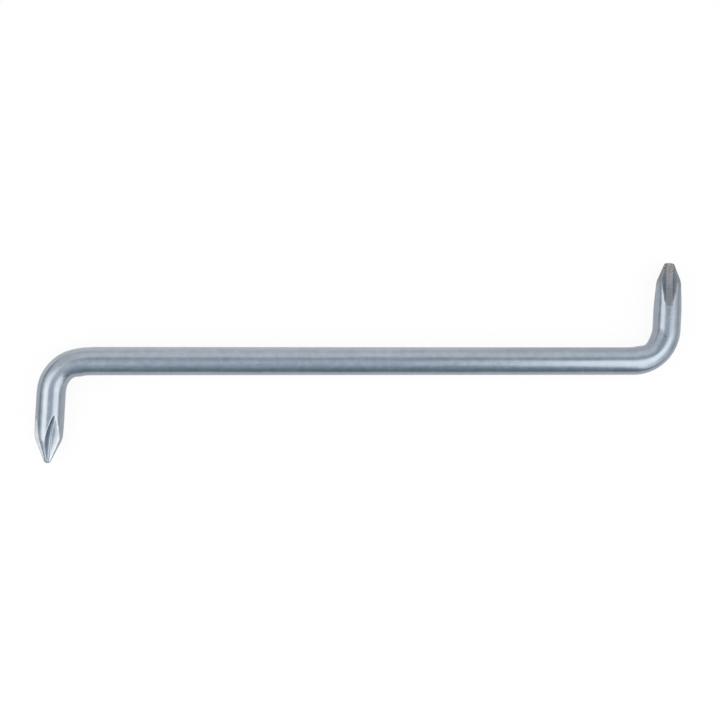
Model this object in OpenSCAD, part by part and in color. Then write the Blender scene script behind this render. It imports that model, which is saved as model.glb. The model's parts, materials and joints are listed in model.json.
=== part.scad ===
// Offset screwdriver: one round steel bar with a leg bent out at each end.
// The legs point opposite ways, and each leg ends in a cross point of its own size.
// The tool lies flat: the bar runs along X, the legs along Y, and it rests on Z = 0.

/* [Bar] */
// Diameter of the round bar
bar_d = 6; // [5:0.1:8]
// Length of the straight run between the two bends
straight_len = 117.2; // [60:0.2:200]
// Angle that each end of the bar is bent through
bend_angle = 86.8; // [70:0.2:100]
// Radius of each bend, to the middle of the bar
bend_r = 7.4; // [5:0.1:12]

/* [Small point] */
// Length of the leg with the small point, from its bend to the nose
small_leg_len = 14.4; // [11:0.2:45]
// Diameter of the small point where its cone ends
small_nose_d = 1.4; // [1:0.05:1.5]
// Radius of the crown on the small nose
small_crown_r = 1; // [0.76:0.02:2]
// Distance from the axis to the floor of a small groove, at the nose
small_core_r = 0.48; // [0.4:0.02:0.6]
// Width of the floor of a small groove
small_floor_w = 0.5; // [0.3:0.05:0.9]
// Slope of the floor of a small groove
small_floor_slope = 7; // [4:0.25:9]
// Angle between the two facets of a small floor
small_floor_angle = 134; // [130:1:150]
// Length of the straight floor of a small groove
small_floor_len = 3; // [2:0.1:5]
// Radius of the cutter that mills the small grooves
small_cutter_r = 20; // [12:0.5:24]
// How far the small point is turned about its own axis
small_turn = -24.5; // [-45:0.5:45]

/* [Large point] */
// Length of the leg with the large point, from its bend to the nose
large_leg_len = 14.4; // [11:0.2:45]
// Diameter of the large point where its cone ends
large_nose_d = 2.45; // [1.8:0.05:3]
// Radius of the crown on the large nose
large_crown_r = 3; // [1.6:0.1:5]
// Distance from the axis to the floor of a large groove, at the nose
large_core_r = 0.86; // [0.7:0.02:1]
// Width of the floor of a large groove
large_floor_w = 1.4; // [1:0.05:1.5]
// Slope of the floor of a large groove
large_floor_slope = 6; // [4:0.25:8]
// Angle between the two facets of a large floor
large_floor_angle = 156; // [140:1:165]
// Length of the straight floor of a large groove
large_floor_len = 1.2; // [0.6:0.1:3]
// Radius of the cutter that mills the large grooves
large_cutter_r = 36; // [24:1:44]
// How far the large point is turned about its own axis
large_turn = -12; // [-45:1:45]

/* [Cutting] */
// Angle between a point's axis and the side of its cone
cone_half_angle = 25; // [20:0.5:35]
// Angle between the two walls of a groove
groove_angle = 92; // [90:1:100]

/* [Hidden] */
$fn = 96;
groove_count = 4;
bar_r = bar_d / 2;
// How far a cut runs past the surface that it cuts
overrun = bar_d / 8;
// Where a curved stretch meets a straight one, the curved one is drawn this much smaller
// and runs this far into the straight one, so that the two meet as one solid
relief = bar_d / 1200;
lap = bar_d / 60;
// Flats that make up the round of a crown
crown_steps = 8;

// Height of the crown that stands on a nose
function crown_h(nose_d, crown_r) = crown_r - sqrt(crown_r * crown_r - nose_d * nose_d / 4);

// Length of the cone between the nose and the full bar
function cone_len(nose_d) = (bar_r - nose_d / 2) / tan(cone_half_angle);

// Slope at which a floor has run out past the bar's surface
function exit_slope(core_r, slope, floor_len, cutter_r) =
    acos(cos(slope) - (bar_r + overrun - core_r - floor_len * tan(slope)) / cutter_r);

// Section of a groove: u across it, v out from the middle of its floor
function groove_section(floor_w, floor_angle) =
    let(half_w = floor_w / 2)
    let(corner_v = half_w / tan(floor_angle / 2))
    let(top_v = corner_v + bar_d)
    let(top_u = half_w + bar_d * tan(groove_angle / 2))
    [[0, 0], [half_w, corner_v], [top_u, top_v], [-top_u, top_v], [-half_w, corner_v]];

// Half outline of a leg before it is grooved: radius, then distance from the bend
function leg_outline(len, nose_d, crown_r) =
    let(nose_x = len - crown_h(nose_d, crown_r))
    let(rim_angle = asin(nose_d / 2 / crown_r))
    let(crown_x = len - crown_r)
    concat(
        [[0, 0], [bar_r, 0], [bar_r, nose_x - cone_len(nose_d)]],
        [for (i = [crown_steps : -1 : 0])
            let(a = rim_angle * i / crown_steps)
            [crown_r * sin(a), crown_x + crown_r * cos(a)]]);

// One groove in the frame of a point: the nose at the origin, the leg along -Z, the groove on +X
module groove(core_r, floor_w, slope, floor_angle, floor_len, cutter_r) {
    section = groove_section(floor_w, floor_angle);
    run = floor_len / cos(slope);
    lap_angle = asin(lap / cutter_r);
    lead = bar_d;
    translate([core_r, 0, 0]) rotate([0, -slope, 0]) {
        // Straight floor, from ahead of the nose to the start of the run-out
        translate([0, 0, -run])
            linear_extrude(height = run + lead)
                polygon([for (p = section) [p[1], p[0]]]);
        // Run-out left by the rim of the round cutter
        translate([cutter_r + relief, 0, -run])
            rotate([-90, 0, 180])
                rotate([0, 0, -lap_angle])
                    rotate_extrude(angle = lap_angle + exit_slope(core_r, slope, floor_len, cutter_r) - slope)
                        polygon([for (p = section) [cutter_r - p[1], p[0]]]);
    }
}

// One leg along +X from its bend: round stock, cone, crown and four grooves
module leg(len, nose_d, crown_r, core_r, floor_w, slope, floor_angle, floor_len, cutter_r, turn) {
    difference() {
        rotate([0, 90, 0])
            rotate([0, 0, 180])
                rotate_extrude()
                    polygon(leg_outline(len, nose_d, crown_r));
        translate([len - crown_h(nose_d, crown_r), 0, 0])
            rotate([turn, 0, 0])
                rotate([0, 90, 0])
                    for (i = [0 : groove_count - 1])
                        rotate([0, 0, i * 360 / groove_count])
                            groove(core_r, floor_w, slope, floor_angle, floor_len, cutter_r);
    }
}

// One end of the tool: a bend round a centre beside the bar, and the leg that leaves it
module bar_end() {
    lap_angle = asin(lap / bend_r);
    translate([straight_len / 2, bend_r, 0]) {
        rotate([0, 0, -90 - lap_angle])
            rotate_extrude(angle = bend_angle + 2 * lap_angle)
                translate([bend_r, 0])
                    rotate([0, 0, 90])
                        circle(r = bar_r - relief);
        rotate([0, 0, bend_angle])
            translate([0, -bend_r, 0])
                children();
    }
}

module bent_bar() {
    color("lightsteelblue")
        translate([0, 0, bar_r]) {
            translate([straight_len / 2, 0, 0])
                rotate([0, -90, 0])
                    cylinder(d = bar_d, h = straight_len);
            bar_end()
                leg(large_leg_len, large_nose_d, large_crown_r, large_core_r, large_floor_w,
                    large_floor_slope, large_floor_angle, large_floor_len, large_cutter_r, large_turn);
            rotate([0, 0, 180])
                bar_end()
                    leg(small_leg_len, small_nose_d, small_crown_r, small_core_r, small_floor_w,
                        small_floor_slope, small_floor_angle, small_floor_len, small_cutter_r, small_turn);
        }
}

bent_bar();
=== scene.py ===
import json
import math

import bmesh
import bpy
import numpy as np
from mathutils import Matrix, Vector, noise


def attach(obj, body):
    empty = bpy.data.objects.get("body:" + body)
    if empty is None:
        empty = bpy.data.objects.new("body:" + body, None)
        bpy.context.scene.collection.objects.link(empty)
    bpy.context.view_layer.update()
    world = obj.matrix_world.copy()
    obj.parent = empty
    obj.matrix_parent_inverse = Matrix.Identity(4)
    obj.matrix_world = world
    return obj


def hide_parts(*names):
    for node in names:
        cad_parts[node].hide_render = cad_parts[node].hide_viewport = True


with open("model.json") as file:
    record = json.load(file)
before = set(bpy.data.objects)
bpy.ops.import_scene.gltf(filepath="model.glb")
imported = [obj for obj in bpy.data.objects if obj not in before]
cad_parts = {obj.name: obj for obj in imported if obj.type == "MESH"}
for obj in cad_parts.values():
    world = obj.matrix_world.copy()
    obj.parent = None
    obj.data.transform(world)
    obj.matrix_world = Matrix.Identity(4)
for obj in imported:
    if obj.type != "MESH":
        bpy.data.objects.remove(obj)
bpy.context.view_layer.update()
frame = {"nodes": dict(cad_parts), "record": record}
mounts = {m["name"]: m for m in frame["record"]["mounts"]}
print("frame loaded:", ", ".join(sorted(frame["nodes"])))

mm = 0.001                                   # lengths below are in millimetres unless a note says otherwise
barRadius = mounts["straight_run"]["dims"]["r_mm"]
straightLength = mounts["straight_run"]["dims"]["length_mm"]

# the photo's camera looks down on the bar, from a little towards the small end
photoView = {
    "distance": 277.5,                       # from the middle of the bar
    "leanToSmallEnd": 4.875,                 # degrees off straight down
    "aimAt": (-1.02, 0.23),                  # along the bar and across it
    "focalLength": 64.9,
    "sensorWidth": 36,
    "sees": (10, 20000),                     # nearest and farthest
}


def placeCamera(view):
    lean = math.radians(view["leanToSmallEnd"])
    eye = Vector((-math.sin(lean), 0, math.cos(lean))) * view["distance"] + Vector((0, 0, barRadius))
    target = Vector((*view["aimAt"], barRadius))
    back = (eye - target).normalized()
    right = Vector((0, 1, 0)).cross(back).normalized()
    up = back.cross(right)
    camera = bpy.data.objects.new("camera", bpy.data.cameras.new("camera"))
    camera.matrix_world = Matrix((right, up, back)).transposed().to_4x4()
    camera.location = eye * mm
    camera.data.sensor_width = view["sensorWidth"]
    camera.data.lens = view["focalLength"]
    camera.data.clip_start = view["sees"][0] * mm
    camera.data.clip_end = view["sees"][1] * mm
    bpy.context.scene.collection.objects.link(camera)
    bpy.context.scene.camera = camera


placeCamera(photoView)
print("camera placed")


class Wire:                                  # a node's output that Python's own operators work on
    def __init__(self, sheet, socket):
        self.sheet = sheet
        self.socket = socket

    def __add__(self, other):
        return self.sheet.maths("ADD", self, other)

    def __sub__(self, other):
        return self.sheet.maths("SUBTRACT", self, other)

    def __rsub__(self, other):
        return self.sheet.maths("SUBTRACT", other, self)

    def __mul__(self, other):
        return self.sheet.maths("MULTIPLY", self, other)

    __radd__ = __add__
    __rmul__ = __mul__


class Sheet:                                 # the node tree of one finish
    def __init__(self, owner):
        owner.use_nodes = True
        self.tree = owner.node_tree
        self.tree.nodes.clear()

    def add(self, kind, settings=None, sockets=None, output=0):
        node = self.tree.nodes.new(kind)
        for key, value in (settings or {}).items():
            if key == "stops":
                self.fillRamp(node.color_ramp, value)
            else:
                setattr(node, key, value)
        for key, value in (sockets or {}).items():
            target = self.find(node.inputs, key)
            if isinstance(value, Wire):
                self.tree.links.new(value.socket, target)
            else:
                target.default_value = value
        return Wire(self, self.find(node.outputs, output)) if len(node.outputs) else None

    def find(self, sockets, key):
        if isinstance(key, int):
            return sockets[key]
        return next(s for s in sockets if key in (s.identifier, s.name))

    def fillRamp(self, ramp, stops):
        while len(ramp.elements) < len(stops):
            ramp.elements.new(0.5)
        for element, (place, colour) in zip(ramp.elements, stops):
            element.position = place
            element.color = opaque(colour)

    def ramp(self, factor, stops):
        return self.add("ShaderNodeValToRGB", {"stops": stops}, {"Fac": factor})

    def fade(self, value, none, full):       # 0 at the value none, 1 at the value full, level beyond both
        return self.add("ShaderNodeMapRange", None, {"Value": value, "From Min": none, "From Max": full})

    def noise(self, where, scale, detail, roughness=0.5):
        sockets = {"Vector": where, "Scale": scale, "Detail": detail, "Roughness": roughness}
        return self.add("ShaderNodeTexNoise", None, sockets)

    def blend(self, factor, first, second):
        sockets = {"Factor_Float": factor, "A_Color": first, "B_Color": second}
        return self.add("ShaderNodeMix", {"data_type": "RGBA"}, sockets, "Result_Color")

    def maths(self, operation, first, second=0.0):
        return self.add("ShaderNodeMath", {"operation": operation}, {0: first, 1: second})

    def vectorMaths(self, operation, first, second, output=0):
        return self.add("ShaderNodeVectorMath", {"operation": operation}, {0: first, 1: second}, output)

    def component(self, vector, axis):
        return self.add("ShaderNodeSeparateXYZ", None, {"Vector": vector}, axis)

    def attribute(self, name, output="Fac"):
        return self.add("ShaderNodeAttribute", {"attribute_name": name}, None, output)

    def glow(self, tone):                    # shows the tone as it is, whatever the light
        return self.add("ShaderNodeEmission", None, {"Color": tone, "Strength": 1.0})

    def finish(self, surface, kind="Material"):
        self.add("ShaderNodeOutput" + kind, None, {"Surface": surface})


def opaque(colour):
    return (*colour, 1)


def newObject(name, shape, material):
    mesh = bpy.data.meshes.new(name)
    shape.to_mesh(mesh)
    shape.free()
    mesh.materials.append(material)
    thing = bpy.data.objects.new(name, mesh)
    bpy.context.scene.collection.objects.link(thing)
    return thing


def glossOnly(thing):                        # seen in the metal, and in nothing else
    thing.visible_camera = thing.visible_diffuse = thing.visible_shadow = False


# the paper that the tool lies on: the camera sees it nearly white, and the metal's gloss sees a painted shade
# on it, but for a white corner beyond the bar's left half; the corner's edges fade over these places
paper = {
    "radius": 1500,
    "edgePieces": 96,
    "colour": (0.93, 0.93, 0.93),
    "shadowKept": 0.09,                      # share of the paper's own shading that the camera sees
    "glossTone": (0.82, 0.82, 0.845),
    "cornerAlong": (45, 15),                 # from the tone to white
    "cornerAcross": (-4, 4),
}


def layPaper():
    material = bpy.data.materials.new("palePaper")
    sheet = Sheet(material)
    matt = sheet.add("ShaderNodeBsdfDiffuse", None, {"Color": opaque(paper["colour"])})
    rayKinds = ("Is Camera Ray", "Is Glossy Ray", "Is Transmission Ray")
    byCamera, byGloss, byGlass = (sheet.add("ShaderNodeLightPath", None, None, kind) for kind in rayKinds)
    seen = (byCamera + byGloss + byGlass) * (1 - paper["shadowKept"])
    place = sheet.add("ShaderNodeTexCoord", None, None, "Object")
    along = sheet.fade(sheet.component(place, "X"), *(x * mm for x in paper["cornerAlong"]))
    across = sheet.fade(sheet.component(place, "Y"), *(y * mm for y in paper["cornerAcross"]))
    # painted shade: away from the white corner, the gloss sees the paper darker than the camera does
    whiteness = sheet.maths("MAXIMUM", along * across, 1 - byGloss)
    tone = sheet.blend(whiteness, opaque(paper["glossTone"]), (1, 1, 1, 1))
    sheet.finish(sheet.add("ShaderNodeMixShader", None, {0: seen, 1: matt, 2: sheet.glow(tone)}))
    shape = bmesh.new()
    bmesh.ops.create_circle(shape, cap_ends=True, segments=paper["edgePieces"], radius=paper["radius"] * mm)
    floor = newObject("floor", shape, material)


# a cloth bent over the tool, which only shows in the gloss; its tones run round it from the far side to the
# near one, in degrees from overhead
tent = {
    "radius": 600,
    "reach": (-210, 900),                    # along the bar
    "facets": 60,
    "tones": [
        (-76, (0.95, 0.98, 0.99)),
        (-60, (1.02, 1.06, 1.07)),
        (-46, (1.09, 1.11, 1.14)),
        (-37, (1.02, 1.05, 1.08)),
        (-30, (0.78, 0.83, 0.90)),
        (-23, (0.56, 0.61, 0.69)),
        (-16, (0.54, 0.59, 0.66)),
        (-8, (0.64, 0.69, 0.75)),
        (2, (0.76, 0.83, 0.88)),
        (12, (0.84, 0.90, 0.95)),
        (20, (0.81, 0.87, 0.94)),
        (29, (0.75, 0.81, 0.89)),
        (37.5, (0.61, 0.68, 0.76)),
        (46, (0.55, 0.63, 0.71)),
        (55, (0.42, 0.50, 0.56)),
        (65, (0.35, 0.425, 0.46)),
        (75, (0.28, 0.34, 0.365)),
        (90, (0.26, 0.31, 0.33)),
    ],
}


def hangTent():
    material = bpy.data.materials.new("tentCloth")
    sheet = Sheet(material)
    first, last = tent["tones"][0][0], tent["tones"][-1][0]
    stops = [((angle - first) / (last - first), tone) for angle, tone in tent["tones"]]
    sheet.finish(sheet.glow(sheet.ramp(sheet.attribute("around"), stops)))
    shape = bmesh.new()
    around = shape.verts.layers.float.new("around")
    rows = []
    for i in range(tent["facets"] + 1):
        share = i / tent["facets"]
        angle = math.radians(first + (last - first) * share)
        row = []
        for x in tent["reach"]:
            place = Vector((x, -tent["radius"] * math.sin(angle), tent["radius"] * math.cos(angle)))
            vert = shape.verts.new(place * mm)
            vert[around] = share
            row.append(vert)
        rows.append(row)
    for one, two in zip(rows, rows[1:]):
        shape.faces.new((one[0], one[1], two[1], two[0]))
    glossOnly(newObject("tent", shape, material))


# flat dark cards that only show in the gloss: two stand past the bar's ends, and one lies on its near side,
# stepped back at the small leg, a painted shade on the paper beside the bar that the metal reflects
cardEdge = 590
cardTop = 170
cardFoot = 1
cards = {
    "endCard": {
        "corners": ((-cardEdge, -cardEdge, cardFoot), (-cardEdge, cardEdge, cardFoot),
                    (-cardEdge, cardEdge, cardTop), (-cardEdge, -cardEdge, cardTop)),
        "tone": (0.34, 0.40, 0.46),
    },
    "otherEndCard": {
        "corners": ((cardEdge, -cardEdge, cardFoot), (cardEdge, cardEdge, cardFoot),
                    (cardEdge, cardEdge, cardTop), (cardEdge, -cardEdge, cardTop)),
        "tone": (0.60, 0.63, 0.66),
    },
    # painted shade: a dark sheet on the paper's near side, seen only in the metal
    "nearCard": {
        "corners": ((-62, -32, 0.4), (-32, -32, 0.4), (-32, -22, 0.4), (600, -22, 0.4),
                    (600, -600, 0.4), (-600, -600, 0.4), (-600, -45, 0.4), (-62, -45, 0.4)),
        "tone": (0.31, 0.36, 0.385),
    },
}


def standCard(name, card):
    material = bpy.data.materials.new(name)
    sheet = Sheet(material)
    sheet.finish(sheet.glow(opaque(card["tone"])))
    shape = bmesh.new()
    shape.faces.new([shape.verts.new(Vector(corner) * mm) for corner in card["corners"]])
    glossOnly(newObject(name, shape, material))


# soft panels: low and high are two edges as (along, up), reach is the stretch across the bar; each hangs as
# nested lamps, whose edges draw back step by step so that the panel fades out over fade and endFade
panels = {
    "leftPanel": {
        "low": (-250, 115),
        "high": (-170, 364),
        "reach": (-250, 92),
        "fade": (30, 50),                    # at the low edge and at the high one
        "endFade": 50,                       # at the far end of its reach
        "colour": (1.0, 0.96, 0.93),
        "level": 0.94,                       # of light added to the sky's
    },
    "rightPanel": {
        "low": (168, 77),
        "high": (122, 450),
        "reach": (-250, 30),
        "fade": (28, 150),
        "endFade": 32,
        "colour": (1.0, 0.96, 0.91),
        "level": 0.95,
    },
    "cornerPanel": {
        "low": (190, 22),
        "high": (168, 84),
        "reach": (-200, -50),
        "fade": (16, 0),
        "endFade": 60,
        "colour": (1.0, 0.96, 0.91),
        "level": 0.7,
    },
}
lamps = {
    "nested": 3,                             # in each panel
    "gap": 6,                                # between one and the next
    "wattsPerLevel": 4,                      # for each square metre
}


def hangPanel(name, panel, layer):
    share = layer / (lamps["nested"] - 1)
    low = Vector((panel["low"][0], 0, panel["low"][1]))
    high = Vector((panel["high"][0], 0, panel["high"][1]))
    across = (high - low).normalized()
    low += across * panel["fade"][0] * share
    high -= across * panel["fade"][1] * share
    near, far = panel["reach"][0], panel["reach"][1] - panel["endFade"] * share
    middle = (low + high) / 2 + Vector((0, (near + far) / 2, 0))
    facing = Vector((0, 1, 0)).cross(across)
    if facing.dot(middle) > 0:
        facing = -facing
    along = facing.cross(across)
    lamp = bpy.data.lights.new(name, "AREA")
    lamp.shape = "RECTANGLE"
    lamp.size = (high - low).length * mm
    lamp.size_y = (far - near) * mm
    lamp.color = panel["colour"]
    lamp.energy = panel["level"] / lamps["nested"] * lamps["wattsPerLevel"] * lamp.size * lamp.size_y
    holder = bpy.data.objects.new(name, lamp)
    holder.matrix_world = Matrix((across, along, -facing)).transposed().to_4x4()
    holder.location = (middle + facing * lamps["gap"] * layer) * mm
    bpy.context.scene.collection.objects.link(holder)


sky = {
    "colour": (0.98, 1.0, 1.0),
    "level": 0.9,
}


def lightSky():
    world = bpy.data.worlds.new("studioSky")
    bpy.context.scene.world = world
    sheet = Sheet(world)
    sockets = {"Color": opaque(sky["colour"]), "Strength": sky["level"]}
    sheet.finish(sheet.add("ShaderNodeBackground", None, sockets), "World")


layPaper()
for name, panel in panels.items():
    for layer in range(lamps["nested"]):
        hangPanel(name, panel, layer)
hangTent()
for name, card in cards.items():
    standCard(name, card)
lightSky()
bpy.context.scene.view_settings.view_transform = "Standard"
print("floor and light ready")


barShape = {
    "bendRadius": 7.4,                       # to the middle of the bar
    "shoulderRounding": 0.35,                # where a cone meets the round bar
    "noseRounding": 0.12,                    # round the edge of a crown
    "crownTop": 0.8,                         # past this share of its rise a crown keeps its own round
    "crownSlope": 1.2,                       # behind its edge its line has at least so many cone slopes
    "coneHalfAngle": 25,
    "leastConeRadius": 0.05,                 # of the cone's line ahead of the nose
    "grooveAngle": 92,                       # between the two walls of a groove
    "rimShare": 0.5,                         # the rounding of a rim takes at most this share of the depth
    "leastRounding": 0.0001,                 # of the rim, where a groove has run out
    "pitDepth": 0.05,                        # on the bare noses
    "pitCount": 4.5,                         # on each millimetre
    "pittedTo": 1.2,                         # in the steps of bareLength below
}
# places along a leg, and t in the functions below, are distances back from the edge of its nose
smallPoint = {
    "mount": "small_point",
    "crownRadius": 1.0,
    "coreRadius": 0.48,                      # from the axis to the floor of a groove, at the nose
    "floorWidth": 0.50,
    "floorSlope": 7,
    "floorAngle": 146,                       # between the two facets of a floor
    "floorLength": 3.0,                      # of the straight part, before the round of the cutter
    "cutterRadius": 20,
    "turn": 24.5,                            # about the leg
    "lean": 0.0,                             # how far the nose stands aside
    "rimRounding": 0.20,
    "creaseRounding": 0.09,                  # between floor and walls
    "milling": 0.02,                         # how strongly the milled finish shows
    "milledFade": 0.5,                       # length over which it fades out at a groove's end
    "rimFade": 0.1,                          # the same for the painted rim highlight
    "bareStart": -0.36,                      # the finish measures from here,
    "bareLength": 0.15,                      # in steps of this length
}
largePoint = {
    "mount": "large_point",
    "crownRadius": 3.0,
    "coreRadius": 0.86,
    "floorWidth": 1.4,
    "floorSlope": 6,
    "floorAngle": 156,
    "floorLength": 1.2,
    "cutterRadius": 36,
    "turn": -12,
    "lean": 0.2,
    "rimRounding": 0.10,
    "creaseRounding": 0.12,
    "milling": 1.0,
    "milledFade": 0.9,
    "rimFade": 1.4,
    "bareStart": 0.0,
    "bareLength": 1.7,
}
# how far the bends depart from round, outwards: degrees round the bend from the straight run, and size
bendFlaws = {
    "small": {
        "inside": [(0, 0.03), (8, 0.08), (16, 0.09), (26, -0.15), (32, -0.34), (41, -0.41), (56, -0.32),
                   (62, -0.25), (71, -0.1), (86, 0)],
        "outside": [(0, -0.10), (14, -0.12), (24, 0), (36, 0.1), (66, 0.11), (80, 0)],
    },
    "large": {
        "inside": [(0, 0.08), (8, 0.16), (16, 0.12), (26, -0.08), (32, -0.23), (38, -0.3), (44, -0.22),
                   (50, -0.1), (60, 0), (71, 0.06), (86, 0)],
    },
}
flawNarrowness = 1.3                         # above 1, a flaw keeps closer to the middle of its side
barMesh = {
    "crownSteps": 9,                         # from the top of a crown to its edge
    "noseStep": 0.04,                        # distances between rings: just behind the nose's edge,
    "coneStep": 0.11,                        # on the cone,
    "shoulderStep": 0.07,                    # round its shoulder
    "legStep": 0.12,                         # and on the leg
    "noseLength": 0.3,
    "shoulderReach": (0.3, 0.4),             # before and behind the end of the cone
    "grooveSteps": 30,                       # faces from the middle of a groove to its rim
    "wingSteps": 12,                         # and on to the middle of the wing
    "crowding": 0.6,                         # how far those faces crowd towards the rim
    "leastRim": 5,                           # degrees that a groove's faces keep where the groove has run out
    "evenOut": 3.5,                          # over this length behind it they spread evenly
    "bendSteps": 36,
    "straightSteps": 90,
    "sectionSteps": 700,                     # places at which a section is worked out
}
groovesAround = 4
quarterTurn = 2 * math.pi / groovesAround
halfQuarter = quarterTurn / 2                # from the middle of a groove to the middle of a wing
farFromNose = 20.0                           # stands for the whole bar between the legs


def softMin(a, b, width):
    gap = np.clip(1 - np.abs(a - b) / width, 0, 1)
    return np.minimum(a, b) - gap * gap * width / 4


def softAbs(x, width):
    return np.sqrt(x * x + width * width) - width


def noseRadius(point):
    return mounts[point["mount"]]["dims"]["r_mm"]


def crownRise(point):                        # how far a crown stands past the nose's edge
    crown = point["crownRadius"]
    return crown - math.sqrt(crown ** 2 - noseRadius(point) ** 2)


def outlineRadius(point, t):                 # radius of the ungrooved leg at the distance t
    edge = noseRadius(point)
    slope = math.tan(math.radians(barShape["coneHalfAngle"]))
    crown = point["crownRadius"]
    rise = crownRise(point)
    edgeSlope = max((crown - rise) / edge, slope * barShape["crownSlope"])
    dome = np.sqrt(np.clip(crown ** 2 - (np.minimum(t, 0) + rise - crown) ** 2, 0, None))
    dome = np.where(t > 0, edge + edgeSlope * t, dome)
    cone = np.maximum(edge + slope * t, barShape["leastConeRadius"])
    onTop = t < -barShape["crownTop"] * rise
    nosed = np.where(onTop, dome, softMin(dome, cone, barShape["noseRounding"]))
    return softMin(nosed, barRadius, barShape["shoulderRounding"])


def grooveFloor(point, t, depthAcross):      # height of a groove's surface over the axis
    slope = math.radians(point["floorSlope"])
    cutter = point["cutterRadius"]
    straight = point["coreRadius"] + t * math.tan(slope) + depthAcross / math.cos(slope)
    run = point["floorLength"] / math.cos(slope)
    hubBack = run * math.cos(slope) - cutter * math.sin(slope)
    hubHeight = point["coreRadius"] + run * math.sin(slope) + cutter * math.cos(slope)
    reach = np.sqrt(np.clip((cutter - depthAcross) ** 2 - (t - hubBack) ** 2, 0, None))
    return np.where(t < point["floorLength"], straight, hubHeight - reach)


# an eighth of a section, from the middle of a groove to that of a wing: angles, radii, the angle of the
# rim, and the radii of the groove alone
def eighthSection(point, t, radius):
    crease = point["creaseRounding"]
    floorSlope = 1 / math.tan(math.radians(point["floorAngle"] / 2))
    wallSlope = 1 / math.tan(math.radians(barShape["grooveAngle"] / 2))
    across = np.linspace(0, 2 * barRadius, barMesh["sectionSteps"])
    pastFloor = across - point["floorWidth"] / 2
    wallRise = (wallSlope - floorSlope) * (pastFloor + softAbs(pastFloor, crease) + crease) / 2
    depthAcross = floorSlope * softAbs(across, crease) + wallRise
    depthAcross -= depthAcross[0]
    out = grooveFloor(point, t, depthAcross)
    angle = np.linspace(0, halfQuarter, barMesh["sectionSteps"])
    cut = np.interp(angle, np.arctan2(across, out), np.hypot(across, out))
    depth = radius - out[0]
    rounding = max(min(point["rimRounding"], barShape["rimShare"] * depth), barShape["leastRounding"])
    reach = softMin(np.full(barMesh["sectionSteps"], radius), cut, rounding)
    rim = angle[np.argmax(cut >= radius)] if depth > 0 else 0.0
    return angle, reach, rim, cut


def ringPlaces(angle, reach, rim, spread):   # spread 0 follows the rim, 1 is even
    grooveSteps, wingSteps = barMesh["grooveSteps"], barMesh["wingSteps"]
    even = halfQuarter * grooveSteps / (grooveSteps + wingSteps)
    leastRim = math.radians(barMesh["leastRim"])
    rim = max(rim, leastRim + (even - leastRim) * spread)
    x, y = reach * np.sin(angle), reach * np.cos(angle)
    length = np.concatenate([[0], np.cumsum(np.hypot(np.diff(x), np.diff(y)))])
    rimLength = np.interp(rim, angle, length)
    crowd = 1 + barMesh["crowding"] * (1 - spread)
    inner = 1 - (1 - np.arange(grooveSteps) / grooveSteps) ** crowd
    outer = (np.arange(wingSteps + 1) / wingSteps) ** crowd
    wanted = np.concatenate([inner * rimLength, rimLength + outer * (length[-1] - rimLength)])
    places = np.interp(wanted, length, angle)
    return places, np.interp(places, angle, reach)


def legStations(point, legLength):           # where rings stand, close together where the shape turns
    rise = crownRise(point)
    coneLength = mounts[point["mount"]]["dims"]["length_mm"]
    rimAngle = math.asin(min(1, noseRadius(point) / point["crownRadius"]))
    crownSteps = barMesh["crownSteps"]
    angles = [rimAngle * i / crownSteps for i in range(1, crownSteps)]
    crown = [point["crownRadius"] * (1 - math.cos(angle)) - rise for angle in angles]
    before, behind = barMesh["shoulderReach"]
    noseEnd, coneEnd, shoulderEnd = barMesh["noseLength"], coneLength - before, coneLength + behind
    nose = np.arange(-barMesh["noseStep"], noseEnd, barMesh["noseStep"])
    cone = np.arange(noseEnd, coneEnd, barMesh["coneStep"])
    shoulder = np.arange(coneEnd, shoulderEnd, barMesh["shoulderStep"])
    leg = np.arange(shoulderEnd, legLength - rise, barMesh["legStep"])
    return sorted(set(round(float(t), 4) for t in (*crown, *nose, *cone, *shoulder, *leg)))


# marks for the finish, from 0 to 1: the edge of the milled part, the width of the painted rim highlight,
# and the lighter strip on a floor's facets with its place, as a share of the floor's width, and its sharpness
markShape = {
    "milledEdge": 0.08,
    "rimWidth": 0.22,
    "stripPlace": 0.15,
    "stripSharpness": 2.2,
    "stripDepth": 0.1,                       # only where the groove is deeper than this
}


def legRings(point, legLength):              # for each station: t, angles, radii and the three marks
    stations = legStations(point, legLength)
    radii = outlineRadius(point, np.array(stations))
    floors = grooveFloor(point, np.array(stations), 0.0)
    apex = next(t for t, floor in zip(stations, floors) if floor >= barRadius)
    rings = []
    for t, radius in zip(stations, radii):
        angle, reach, rim, cut = eighthSection(point, t, radius)
        spread = np.clip((t - apex) / barMesh["evenOut"], 0, 1)
        spread = spread * spread * (3 - 2 * spread)
        places, ring = ringPlaces(angle, reach, rim, spread)
        depth = radius - np.interp(places, angle, np.minimum(cut, radius + 1))
        milled = np.clip(depth / markShape["milledEdge"], 0, 1)
        milled = milled * np.clip((apex - t) / point["milledFade"], 0, 1)
        # the mask of the painted highlight along each rim
        atRim = np.exp(-((places - rim) * radius / markShape["rimWidth"]) ** 2) * (0 < rim < halfQuarter)
        atRim = atRim * np.clip((apex - t) / point["rimFade"], 0, 1)
        aside = ring * np.sin(places) / point["floorWidth"]
        onStrip = np.clip(1 - np.abs(aside - markShape["stripPlace"]) * markShape["stripSharpness"], 0, 1)
        onStrip = onStrip * (radius > ring + markShape["stripDepth"])
        rings.append((t, places, ring, milled, atRim, onStrip))
    return rings


def wholeRing(eighth, mirrored=1):           # unrolls an eighth's values to the full ring
    quarter = np.concatenate([mirrored * eighth[::-1][:-1], eighth[:-1]])
    return np.tile(quarter, groovesAround)
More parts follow.
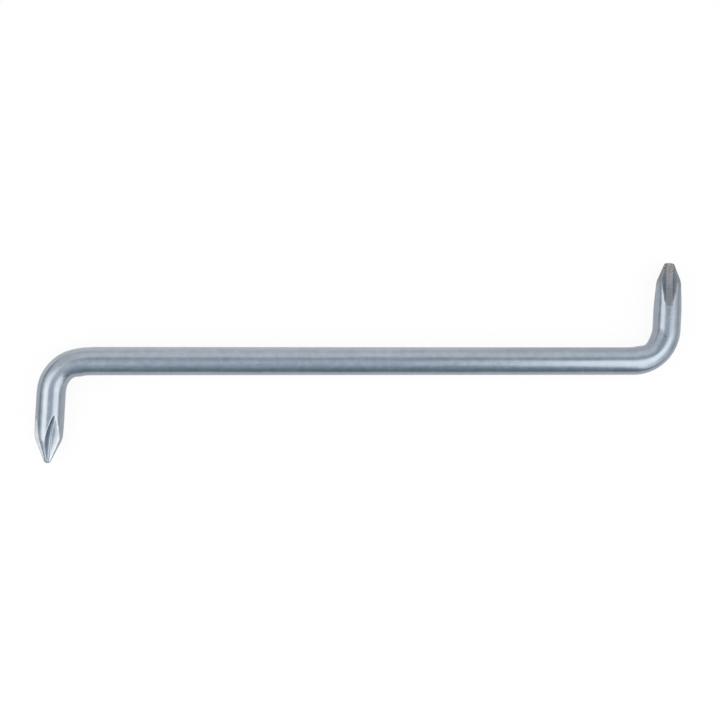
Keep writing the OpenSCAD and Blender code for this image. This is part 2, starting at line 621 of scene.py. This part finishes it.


# a row of the bar's skin: centre, heading, angles, radii, milled, painted rim highlight and strip marks,
# and the distance from the nose in steps of bareLength; outward is 1 where the leg points along its heading,
# or -1 where it points back
def legRows(point, base, heading, outward, legLength):
    rise = crownRise(point)
    away = Vector((math.cos(heading), math.sin(heading), 0))
    sideways = Vector((-away.y, away.x, 0))
    noseEdge = base + away * outward * (legLength - rise)
    rows = []
    for t, places, ring, milled, atRim, onStrip in legRings(point, legLength):
        fromBend = legLength - rise - t
        aside = sideways * point["lean"] * (fromBend / legLength) ** 2
        centre = noseEdge - away * outward * t + aside
        quarters = np.repeat(np.arange(groovesAround) * quarterTurn, 2 * (len(places) - 1))
        angles = wholeRing(places, -1) + quarters + math.radians(point["turn"])
        bare = (t - point["bareStart"]) / point["bareLength"]
        rows.append((centre, heading, angles, wholeRing(ring), wholeRing(milled) * point["milling"],
                     wholeRing(atRim), wholeRing(onStrip) * point["milling"], bare))
    return rows if outward < 0 else rows[::-1]


# hubSide is 1 or -1 in a bend, the side on which its hub lies
def roundRow(centre, heading, angles, flaws=None, hubSide=0):
    radii = np.full(len(angles), barRadius)
    for where, sizes in (flaws or {}).items():
        side = hubSide if where == "inside" else -hubSide
        flaw = np.interp(math.degrees(heading), *zip(*sizes))
        radii = radii + flaw * np.clip(np.sin(angles) * side, 0, None) ** flawNarrowness
    plain = np.zeros(len(angles))
    return centre, heading, angles, radii, plain, plain, plain, farFromNose


def layOutBar():                             # rows from the small nose to the large one, and the two noses
    smallTip, largeTip = (Vector(mounts[name]["pos_m"]) / mm for name in ("small_point", "large_point"))
    axis = Vector(mounts["large_point"]["axis"])
    bend = math.atan2(axis.y, axis.x)
    bendRadius = barShape["bendRadius"]
    largeHub = Vector((straightLength / 2, bendRadius, barRadius))
    smallHub = Vector((-straightLength / 2, -bendRadius, barRadius))
    spoke = Vector((math.sin(bend), -math.cos(bend), 0)) * bendRadius
    largeBase, smallBase = largeHub + spoke, smallHub - spoke
    legLength = (largeTip - largeBase).length
    rows = legRows(smallPoint, smallBase, bend, -1, legLength)
    largeRows = legRows(largePoint, largeBase, bend, 1, legLength)

    firstAngles, lastAngles = rows[-1][2], largeRows[0][2]
    bendArc = bendRadius * bend
    total = straightLength + 2 * bendArc

    def anglesAt(gone):                      # rings turn slowly from one leg's grooves to the other's
        share = gone / total
        return firstAngles * (1 - share) + lastAngles * share

    bendSteps, straightSteps = barMesh["bendSteps"], barMesh["straightSteps"]
    for i in range(1, bendSteps + 1):
        heading = bend * (1 - i / bendSteps)
        spoke = Vector((-math.sin(heading), math.cos(heading), 0)) * bendRadius
        angles = anglesAt(bendArc * i / bendSteps)
        rows.append(roundRow(smallHub + spoke, heading, angles, bendFlaws["small"], 1))
    for i in range(1, straightSteps):
        x = straightLength * (i / straightSteps - 0.5)
        rows.append(roundRow(Vector((x, 0, barRadius)), 0.0, anglesAt(bendArc + x + straightLength / 2)))
    for i in range(bendSteps):
        heading = bend * i / bendSteps
        spoke = Vector((math.sin(heading), -math.cos(heading), 0)) * bendRadius
        angles = anglesAt(bendArc + straightLength + bendArc * i / bendSteps)
        rows.append(roundRow(largeHub + spoke, heading, angles, bendFlaws["large"], -1))
    rows += largeRows

    sideways = Vector((math.sin(bend), -math.cos(bend), 0))
    smallTip += (rows[0][0] - smallBase).project(sideways)
    largeTip += (rows[-1][0] - largeBase).project(sideways)
    return rows, smallTip, largeTip


def skinBar(rows, smallTip, largeTip):
    shape = bmesh.new()
    straightened = shape.verts.layers.float_vector.new("straightened")
    markLayers = [shape.verts.layers.float.new(name) for name in ("milledMark", "rimMark", "stripMark")]
    noseDistance = shape.verts.layers.float.new("noseDistance")
    up = Vector((0, 0, 1))
    rings, along, before = [], 0.0, rows[0][0]
    for centre, heading, angles, radii, milled, atRim, onStrip, bare in rows:
        along += (centre - before).length
        before = centre
        side = Vector((math.sin(heading), -math.cos(heading), 0))
        ring = []
        for angle, reach, *marks in zip(angles, radii, milled, atRim, onStrip):
            if bare < barShape["pittedTo"]:
                spot = Vector((along, reach * math.sin(angle), reach * math.cos(angle)))
                pits = noise.noise(spot * barShape["pitCount"])
                reach += barShape["pitDepth"] * min(1, barShape["pittedTo"] - bare) * pits
            aside, height = reach * math.sin(angle), reach * math.cos(angle)
            vert = shape.verts.new((centre + up * height + side * aside) * mm)
            vert[straightened] = Vector((along, aside, height))
            vert[noseDistance] = bare
            for layer, mark in zip(markLayers, marks):
                vert[layer] = mark
            ring.append(vert)
        rings.append(ring)
    for one, two in zip(rings, rings[1:]):
        for i in range(len(one)):
            j = (i + 1) % len(one)
            shape.faces.new((one[i], one[j], two[j], two[i]))
    for ring, tip, place in ((rings[0], smallTip, 0.0), (rings[-1], largeTip, along)):
        pole = shape.verts.new(tip * mm)
        pole[straightened] = Vector((place, 0, 0))
        for i in range(len(ring)):
            shape.faces.new((ring[i], ring[(i + 1) % len(ring)], pole))
    bmesh.ops.recalc_face_normals(shape, faces=shape.faces)
    for face in shape.faces:
        face.smooth = True
    return shape


# the plating has a fine unevenness, made of soft mottling, grain and streaks along the bar
satinChrome = {
    "colour": (0.365, 0.405, 0.455),
    "roughness": 0.235,
    "mottleSize": 1.5,
    "grainCount": 4.2,                       # on each millimetre
    "streakScale": (0.07, 1.9, 1.9),         # along the bar, and across it twice
    "grainShare": 0.35,
    "streakShare": 0.7,
    "shade": 0.085,                          # how far the unevenness darkens and lightens the colour
    "contrast": 2,                           # how steeply it goes from one to the other
    "gloss": 0.13,                           # how far it changes the roughness
    "height": 0.006,
}


def unevenPlating(sheet, place):             # the mottling, the grain, and both together with the streaks
    mottle = sheet.noise(place, 1 / satinChrome["mottleSize"], detail=2.0) - 0.5
    grain = sheet.noise(place, satinChrome["grainCount"], detail=2.0) - 0.5
    stretched = sheet.vectorMaths("MULTIPLY", place, satinChrome["streakScale"])
    streaks = sheet.noise(stretched, 1.0, detail=3.0, roughness=0.55) - 0.5
    return mottle, grain, mottle + grain * satinChrome["grainShare"] + streaks * satinChrome["streakShare"]


def plateBar(sheet, unevenness):
    darker = opaque([c * (1 - satinChrome["shade"]) for c in satinChrome["colour"]])
    lighter = opaque([c * (1 + satinChrome["shade"]) for c in satinChrome["colour"]])
    return sheet.blend(unevenness * satinChrome["contrast"] + 0.5, darker, lighter)


milledGroove = {
    "colour": (0.235, 0.247, 0.268),
    "cover": 0.9,
    "roughness": 0.44,
    "pitch": 0.56,                           # of the marks that the cutter left
    "markWaviness": 0.12,
    "markShade": 0.14,
    "markHeight": 0.02,
}


def cutterMarks(sheet, place, grain):
    wavyAlong = sheet.component(place, "X") + grain * milledGroove["markWaviness"]
    return sheet.maths("SINE", wavyAlong * (2 * math.pi / milledGroove["pitch"]))


def darkenGrooves(sheet, colour, milled, marks):
    colour = sheet.blend(milled * milledGroove["cover"], colour, opaque(milledGroove["colour"]))
    return sheet.blend((marks + 1) * milled * milledGroove["markShade"], colour, opaque(bareNose["colour"]))


# painted highlight: a light colour along the groove rims stands in for light that their rounded edges catch
paintedRimHighlight = {
    "colour": (0.60, 0.62, 0.65),
    "cover": 0.7,
    "leastShare": 0.25,                      # what is left of the painted highlight where the mottling breaks it up
    "wear": (-0.2, 0.1),                     # mottling at the least share and at the whole
}


def paintRimHighlights(sheet, colour, mottle):
    highlightLeft = sheet.fade(mottle, *paintedRimHighlight["wear"]) * (1 - paintedRimHighlight["leastShare"]) + paintedRimHighlight["leastShare"]
    atRim = sheet.attribute("rimMark") * highlightLeft
    return sheet.blend(atRim * paintedRimHighlight["cover"], colour, opaque(paintedRimHighlight["colour"]))


# the dull cone of the large point; on the small one its steps are so short that they end on the nose
turnedCone = {
    "colour": (0.245, 0.27, 0.29),
    "grooveColour": (0.285, 0.305, 0.33),
    "cover": 0.8,
    "dullness": 0.9,
    "fade": (3.2, 2.08),                     # in the steps of bareLength
    "raggedness": 0.4,
    "stripColour": (0.33, 0.32, 0.35),
    "stripFade": (0.35, 0.75),
    "stripRaggedness": 0.3,
}


def dullCones(sheet, colour, turned, milled, grain):
    dull = sheet.blend(milled, opaque(turnedCone["colour"]), opaque(turnedCone["grooveColour"]))
    colour = sheet.blend(turned * turnedCone["cover"], colour, dull)
    strip = sheet.attribute("stripMark") + grain * turnedCone["stripRaggedness"]
    strip = sheet.fade(strip, *turnedCone["stripFade"])
    return sheet.blend(strip * turned, colour, opaque(turnedCone["stripColour"]))


bareNose = {
    "colour": (0.20, 0.195, 0.195),          # also of the cutter's marks and the nicks
    "specksLighter": 2.1,
    "specks": (-0.08, 0.1),                  # grain at the plain colour and at the lighter one
    "roughness": 0.50,
    "fade": (0.80, 0.52),                    # in the steps of bareLength
    "mottleRaggedness": 1.0,
    "grainRaggedness": 0.8,
    "furtherInGrooves": 0.32,
    "height": 0.02,
}


def wearNoses(sheet, colour, bare, grain):
    specked = opaque([c * bareNose["specksLighter"] for c in bareNose["colour"]])
    steel = sheet.blend(sheet.fade(grain, *bareNose["specks"]), opaque(bareNose["colour"]), specked)
    return sheet.blend(bare, colour, steel)


darkNicks = {
    "placesAndSizes": [
        ((-62.9, -3.2, 5.6), 0.45),
        ((-62.2, -3.2, 5.35), 0.5),
        ((62.0, 3.9, 4.7), 0.4),
        ((64.8, 5.4, 5.8), 0.35),
    ],
    "cover": 0.7,
    "fade": (0.84, 0.40),                    # in sizes of the nick
    "raggedness": 1.8,
}


def nickBends(sheet, colour, grain):
    here = sheet.add("ShaderNodeTexCoord", None, None, "Object")
    nicked = 0.0
    for centre, size in darkNicks["placesAndSizes"]:
        away = sheet.vectorMaths("DISTANCE", here, Vector(centre) * mm, "Value") * (1 / (size * mm))
        ragged = away + grain * darkNicks["raggedness"]
        nicked = sheet.fade(ragged, *darkNicks["fade"]) * darkNicks["cover"] + nicked
    return sheet.blend(nicked, colour, opaque(bareNose["colour"]))


def finishChrome():
    material = bpy.data.materials.new("satinChrome")
    sheet = Sheet(material)
    place = sheet.attribute("straightened", "Vector")
    fromNose = sheet.attribute("noseDistance")
    milled = sheet.attribute("milledMark")
    mottle, grain, unevenness = unevenPlating(sheet, place)
    marks = cutterMarks(sheet, place, grain)
    turned = sheet.fade(fromNose + mottle * turnedCone["raggedness"], *turnedCone["fade"])
    ragged = mottle * bareNose["mottleRaggedness"] + grain * bareNose["grainRaggedness"]
    bare = sheet.fade(fromNose + ragged - milled * bareNose["furtherInGrooves"], *bareNose["fade"])

    colour = plateBar(sheet, unevenness)
    colour = darkenGrooves(sheet, colour, milled, marks)
    # painted highlight along the groove rims
    colour = paintRimHighlights(sheet, colour, mottle)
    colour = dullCones(sheet, colour, turned, milled, grain)
    colour = wearNoses(sheet, colour, bare, grain)
    colour = nickBends(sheet, colour, grain)

    dulled = sheet.maths("MAXIMUM", milled, turned * turnedCone["dullness"])
    rough = unevenness * satinChrome["gloss"] + satinChrome["roughness"]
    rough = rough + dulled * (milledGroove["roughness"] - satinChrome["roughness"])
    rough = rough + bare * (bareNose["roughness"] - milledGroove["roughness"])
    height = unevenness * satinChrome["height"] + marks * milled * milledGroove["markHeight"]
    height = height + bare * grain * bareNose["height"]
    bumped = sheet.add("ShaderNodeBump", None, {"Height": height, "Distance": mm, "Strength": 1.0})
    sockets = {"Base Color": colour, "Metallic": 1.0, "Roughness": rough, "Normal": bumped}
    sheet.finish(sheet.add("ShaderNodeBsdfPrincipled", None, sockets))
    return material


rows, smallTip, largeTip = layOutBar()
print("bar laid out:", len(rows), "rings")
bar = newObject("satinBar", skinBar(rows, smallTip, largeTip), finishChrome())
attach(bar, "root")
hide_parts("bent_bar")
print("bar built and plated:", len(bar.data.polygons), "faces")
